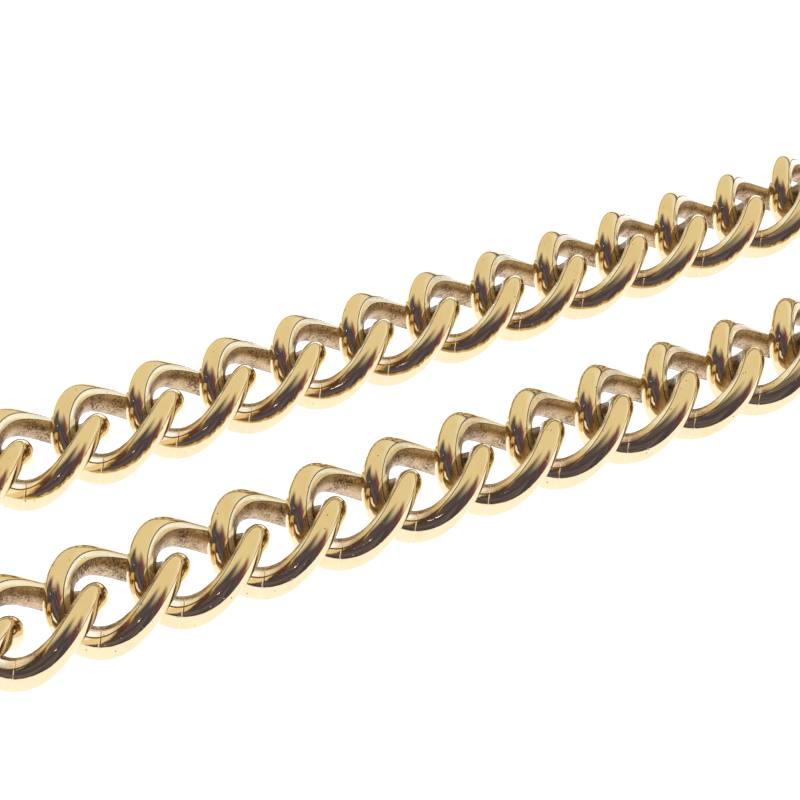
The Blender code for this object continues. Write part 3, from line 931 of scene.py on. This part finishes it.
def swivel_pin_bmesh():
    """The hinge pin, with a low domed head at each end."""
    half = BODY_HALF_DEPTH + 0.15
    side = [(half + 0.35, 0.25), (half + 0.33, 0.42), (half + 0.26, 0.6), (half + 0.14, 0.75),
            (half + 0.05, 0.8), (half, 0.8), (half, PIN_RADIUS)]
    bm = shape(add_lathe, [(-z, r) for z, r in side] + side[::-1], 40, "Z")
    for face in bm.faces:
        face.smooth = True
    for line in bm.edges:
        if len(line.link_faces) == 2 and line.calc_face_angle(0.0) > math.radians(35):
            line.smooth = False
    return bm


def swivel_spring_bmesh():
    """Two turns of fine round wire about the pin, under the knuckle."""
    bm = bmesh.new()
    rings = []
    steps = 96
    for i in range(steps + 1):
        t = math.radians(200 + 720 * i / steps)
        radial = Vector((math.cos(t), math.sin(t), 0.0))
        centre = radial * 0.95 + Vector((0.0, 0.0, -0.75 + 0.6 * i / steps))
        ring = []
        for j in range(12):
            s = 2 * math.pi * j / 12
            offset = radial * math.cos(s) + Vector((0.0, 0.0, math.sin(s)))
            ring.append(bm.verts.new(centre + offset * 0.12))
        rings.append(ring)
    bridge(bm, rings, closed=False)
    for face in bm.faces:
        face.smooth = True
    return bm


# ---------------------------------------------------------------- one operator per piece

class WATCHCHAIN_OT_links(bpy.types.Operator):
    """Makes every curb link of both arms in its place"""

    bl_idname = "watchchain.links"
    bl_label = "Curb links"

    def execute(self, context):
        settings = context.scene.watch_chain
        metals = make_metals(settings.finish)
        # Zone 1 is a painted reflection, zone 2 painted dark reflection and painted shade.
        shared = [metals[n] for n in ("polished_gold", "painted_reflection_gold", "dirt_and_painted_dark_line", "bare_gold", "solder_gold")]
        swell = link_swell(settings.links)
        for arm in ARMS:
            for number in range(1, LINKS_PER_ARM + 1):
                node = f"{arm}_arm_link_{number:02d}"
                matrix = placed(middle_of(node), heading_of(arm, number))
                mesh = finish_mesh(f"{node}_curb", link_bmesh(settings.links, swell), shared, matrix)
                new_piece(f"{node}_curb", mesh, node, [node])
        return {"FINISHED"}


class WATCHCHAIN_OT_rings(bpy.types.Operator):
    """Makes the centre ring and the three jump rings that hang on it"""

    bl_idname = "watchchain.rings"
    bl_label = "Centre ring and jump rings"

    def execute(self, context):
        settings = context.scene.watch_chain
        sizes = settings.fittings
        metals = make_metals(settings.finish)
        gold = [metals["polished_gold"], metals["solder_gold"]]
        wire = (sizes.ring_wire - sizes.play) / MM
        ring = shape(add_torus, sizes.ring_radius / MM, wire, 160, 32, math.radians(118))
        mesh = finish_mesh("centre_ring_wire", ring, gold, placed(middle_of("centre_ring")))
        new_piece("centre_ring_wire", mesh, "centre_ring", ["centre_ring"])
        tilt = Matrix.Rotation(sizes.jump_tilt, 4, "X")
        headings = {"t_bar_jump_ring": 0.0, "far_arm_jump_ring": heading_of("far", 1),
                    "near_arm_jump_ring": heading_of("near", 1)}
        for node, heading in headings.items():
            wire = (sizes.jump_wire - sizes.play) / MM
            jump = shape(add_torus, sizes.jump_radius / MM, wire, 96, 24, math.radians(80))
            mesh = finish_mesh(f"{node}_wire", jump, gold, placed(middle_of(node), heading) @ tilt)
            new_piece(f"{node}_wire", mesh, node, [node])
        return {"FINISHED"}


class WATCHCHAIN_OT_t_bar(bpy.types.Operator):
    """Makes the turned T-bar with its ball ends, collar and eye"""

    bl_idname = "watchchain.t_bar"
    bl_label = "T-bar"

    def execute(self, context):
        settings = context.scene.watch_chain
        metals = make_metals(settings.finish)
        mesh = finish_mesh("t_bar_turned", t_bar_bmesh(settings.fittings), [metals["polished_gold"]],
                           placed(t_bar_middle(settings.fittings)))
        new_piece("t_bar_turned", mesh, "t_bar", ["t_bar"])
        return {"FINISHED"}


class WATCHCHAIN_OT_swivels(bpy.types.Operator):
    """Makes the swivel clasp at the end of each arm: eye, hook, gate, pin and spring"""

    bl_idname = "watchchain.swivels"
    bl_label = "Swivel clasps"

    def execute(self, context):
        settings = context.scene.watch_chain
        metals = make_metals(settings.finish)
        gold, steel = [metals["polished_gold"]], [metals["spring_steel"]]
        for arm in ARMS:
            middle, turn = swivel_middle(arm, settings.links, settings.fittings)
            at_eye = placed(middle, turn)
            at_pin = at_eye @ Matrix.Translation((PIN_X, PIN_Y, 0.0))
            hook = f"{arm}_swivel_hook"
            for part, bm, metal, matrix, body in (
                ("eye", swivel_eye_bmesh(settings.fittings), gold, at_eye, f"{arm}_swivel_eye"),
                ("body", swivel_body_bmesh(settings.fittings), gold, at_eye, hook),
                ("gate", swivel_gate_bmesh(), gold, at_pin, f"{arm}_swivel_gate"),
                ("pin", swivel_pin_bmesh(), gold, at_pin, hook),
                ("spring", swivel_spring_bmesh(), steel, at_pin, hook),
            ):
                name = f"{arm}_swivel_{part}_metal"
                mesh = finish_mesh(name, bm, metal, matrix)
                new_piece(name, mesh, body, [f"{arm}_swivel_{part}"])
        return {"FINISHED"}


def light_direction(heading, elevation):
    """Unit vector towards a compass heading and elevation, in radians."""
    return Vector((math.cos(heading) * math.cos(elevation), math.sin(heading) * math.cos(elevation),
                   math.sin(elevation)))


SKY_COLOUR = (0.895, 0.815, 0.60)
WINDOW_COLOUR = (1.03, 1.03, 0.97)
SHADE_COLOUR = (0.42, 0.33, 0.28)
SKIRTING_COLOUR = (0.05, 0.04, 0.035)
LAMP_COLOUR = (9.0, 8.6, 8.0)
LAMP_RIM = math.radians(0.9)
LAMP_CORE = math.radians(0.45)


def make_world(stage):
    """Soft light from all round, as the metal mirrors it: a dark end of the room beside the camera with a
    red curtain, a bright window low on the right, a small lamp and a dark line where the floor ends.
    The camera itself sees plain white past the floor."""
    world = bpy.data.worlds.new("studio")
    bpy.context.scene.world = world
    world.use_nodes = True
    tree = world.node_tree
    tree.nodes.clear()
    place_ = add_node(tree, "ShaderNodeTexCoord", (-1800, 0))

    def towards(axis, at):
        """How far each direction of the sky points along an axis."""
        node = add_node(tree, "ShaderNodeVectorMath", at, operation="DOT_PRODUCT", sockets={1: axis})
        tree.links.new(place_.outputs["Generated"], node.inputs[0])
        return node.outputs["Value"]

    back = stage.camera_heading + math.pi
    behind = towards(light_direction(back, 0.0), (-1600, 200))
    right = towards(light_direction(back + math.pi / 2, 0.0), (-1600, 0))
    above = towards(Vector((0.0, 0.0, 1.0)), (-1600, -200))
    heading = add_math(tree, "ARCTAN2", right, behind, (-1400, 100))
    elevation = add_math(tree, "ARCSINE", above, 0.0, (-1400, -200))
    streak_at = add_node(tree, "ShaderNodeCombineXYZ", (-1200, 350))
    tree.links.new(add_math(tree, "MULTIPLY", heading, 2.6, (-1400, 350)), streak_at.inputs[0])
    tree.links.new(elevation, streak_at.inputs[1])
    streaks = add_noise(tree, streak_at.outputs[0], 1.4, 2.0, 0.5, (-1000, 350))
    top = add_math(tree, "ADD", elevation, add_math(tree, "MULTIPLY", streaks, 0.22, (-800, 500)), (-600, 500))
    dark = add_steps(tree, top, 0.11 + stage.dark_top * 0.6, 0.11 + stage.dark_top, (-400, 500), 1.0, 0.0)
    for low, high, at in ((stage.dark_left - 0.25, stage.dark_left + 0.25, (-400, 300)),
                          (stage.dark_right + 0.22, stage.dark_right - 0.22, (-400, 150))):
        rising = low < high
        side = add_steps(tree, heading, min(low, high), max(low, high), at,
                         0.0 if rising else 1.0, 1.0 if rising else 0.0)
        dark = add_math(tree, "MULTIPLY", dark, side, (at[0] + 200, at[1]))
    red = add_steps(tree, heading, 0.25, 0.95, (-400, -50))
    faded = add_steps(tree, streaks, 0.45, 0.7, (-400, -200), 0.0, 0.28)
    room = add_mix(tree, red, stage.dark, stage.curtain, (0, 0))
    room = add_mix(tree, faded, room, SHADE_COLOUR, (150, 0))
    low = add_steps(tree, above, 0.05, 0.6, (-400, -350), 1.0, 0.0)
    window = add_math(tree, "MULTIPLY", low, add_steps(tree, right, 0.2, 0.9, (-400, -500)), (-200, -400))
    sky = add_mix(tree, window, SKY_COLOUR, WINDOW_COLOUR, (0, -300))
    colour_ = add_mix(tree, dark, sky, room, (350, 0))
    edge = add_steps(tree, elevation, stage.skirting * 0.6, stage.skirting, (0, -600), 1.0, 0.0)
    colour_ = add_mix(tree, edge, colour_, SKIRTING_COLOUR, (550, 0))
    lamp = towards(light_direction(back + stage.lamp_heading, stage.lamp_elevation), (-1600, -500))
    lamp = add_steps(tree, lamp, math.cos(LAMP_RIM), math.cos(LAMP_CORE), (0, -800))
    colour_ = add_mix(tree, lamp, colour_, LAMP_COLOUR, (750, 0))
    soft = add_node(tree, "ShaderNodeBackground", (950, 0), sockets={"Strength": stage.dome})
    tree.links.new(colour_, soft.inputs["Color"])
    plain = add_node(tree, "ShaderNodeBackground", (950, -200),
                     sockets={"Color": (1.0, 1.0, 1.0, 1.0), "Strength": 1.1})
    rays = add_node(tree, "ShaderNodeLightPath", (950, 300))
    mix = add_node(tree, "ShaderNodeMixShader", (1200, 0))
    tree.links.new(rays.outputs["Is Camera Ray"], mix.inputs[0])
    tree.links.new(soft.outputs[0], mix.inputs[1])
    tree.links.new(plain.outputs[0], mix.inputs[2])
    out = add_node(tree, "ShaderNodeOutputWorld", (1450, 0))
    tree.links.new(mix.outputs[0], out.inputs["Surface"])


def make_floor(stage, height):
    """A plain pale backlit floor below the chain, wide enough to fill every view."""
    bm = bmesh.new()
    centre = bm.verts.new((0.0, 0.0, height))
    rims = []
    for radius in (0.5, 1.5, 3.5, 6.0):
        ring = [bm.verts.new((radius * math.cos(2 * math.pi * i / 64),
                              radius * math.sin(2 * math.pi * i / 64), height)) for i in range(64)]
        rims.append(ring)
    for i in range(64):
        k = (i + 1) % 64
        bm.faces.new((centre, rims[0][i], rims[0][k]))
        for one, two in zip(rims, rims[1:]):
            bm.faces.new((one[i], two[i], two[k], one[k]))
    mesh = bpy.data.meshes.new("floor")
    bm.to_mesh(mesh)
    bm.free()
    material, tree, shader = new_material("floor_paper", stage.floor)
    vector = millimetres(tree)
    grain = add_noise(tree, vector, 0.6, 3.0, 0.5, (-300, 0))
    tone = add_steps(tree, grain, 0.2, 0.8, (-100, 0), 0.985, 1.0)
    base = add_mix(tree, 1.0, stage.floor, tone, (150, 0), "MULTIPLY")
    tree.links.new(base, shader.inputs["Base Color"])
    shader.inputs["Roughness"].default_value = 0.75
    shader.inputs["Specular IOR Level"].default_value = 0.2
    shader.inputs["Emission Color"].default_value = (*stage.glow_colour, 1.0)
    shader.inputs["Emission Strength"].default_value = stage.glow
    mesh.materials.append(material)
    floor = bpy.data.objects.new("floor", mesh)
    bpy.context.scene.collection.objects.link(floor)
    floor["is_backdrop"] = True


def make_camera(stage):
    """The camera, aimed between the two arms."""
    near, far = middle_of("near_arm_link_04"), middle_of("far_arm_link_05")
    aim = ((near + far) / 2 + Vector((stage.camera_along / MM, stage.camera_across / MM, 0.0))) * MM
    back = light_direction(stage.camera_heading + math.pi, stage.camera_elevation)
    data = bpy.data.cameras.new("camera")
    data.sensor_width = 36.0
    data.lens = stage.camera_lens
    data.clip_start, data.clip_end = 0.005, 20.0
    camera = bpy.data.objects.new("camera", data)
    bpy.context.scene.collection.objects.link(camera)
    camera.location = aim + back * stage.camera_distance
    camera.rotation_mode = "QUATERNION"
    camera.rotation_quaternion = (-back).to_track_quat("-Z", "Y")
    bpy.context.scene.camera = camera


class WATCHCHAIN_OT_stage(bpy.types.Operator):
    """Makes the floor, the lights and the camera"""

    bl_idname = "watchchain.stage"
    bl_label = "Stage"

    def execute(self, context):
        stage = context.scene.watch_chain.stage
        low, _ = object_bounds()
        make_floor(stage, low.z - stage.floor_gap)
        make_world(stage)
        make_camera(stage)
        context.scene.view_settings.view_transform = "Standard"
        return {"FINISHED"}


class VIEW3D_PT_watch_chain(bpy.types.Panel):
    """Buttons and sizes for the watch chain"""

    bl_label = "Watch chain"
    bl_space_type = "VIEW_3D"
    bl_region_type = "UI"
    bl_category = "Watch chain"

    def draw(self, context):
        settings = context.scene.watch_chain
        for title, group, operator in (
            ("Links", settings.links, WATCHCHAIN_OT_links),
            ("Rings", settings.fittings, WATCHCHAIN_OT_rings),
            ("T-bar", None, WATCHCHAIN_OT_t_bar),
            ("Swivel clasps", None, WATCHCHAIN_OT_swivels),
            ("Finish", settings.finish, None),
            ("Stage", settings.stage, WATCHCHAIN_OT_stage),
        ):
            box = self.layout.box()
            box.label(text=title)
            if operator:
                box.operator(operator.bl_idname)
            if group:
                for key in group.__annotations__:
                    box.prop(group, key)


CLASSES = (LinkSettings, FittingSettings, FinishSettings, StageSettings, ChainSettings,
           WATCHCHAIN_OT_links, WATCHCHAIN_OT_rings, WATCHCHAIN_OT_t_bar, WATCHCHAIN_OT_swivels,
           WATCHCHAIN_OT_stage, VIEW3D_PT_watch_chain)


def register():
    for cls in CLASSES:
        bpy.utils.register_class(cls)
    bpy.types.Scene.watch_chain = PointerProperty(type=ChainSettings)


def unregister():
    del bpy.types.Scene.watch_chain
    for cls in reversed(CLASSES):
        bpy.utils.unregister_class(cls)


def main():
    register()
    bpy.ops.watchchain.links()
    bpy.ops.watchchain.rings()
    bpy.ops.watchchain.t_bar()
    bpy.ops.watchchain.swivels()
    bpy.ops.watchchain.stage()


if __name__ == "__main__":
    main()
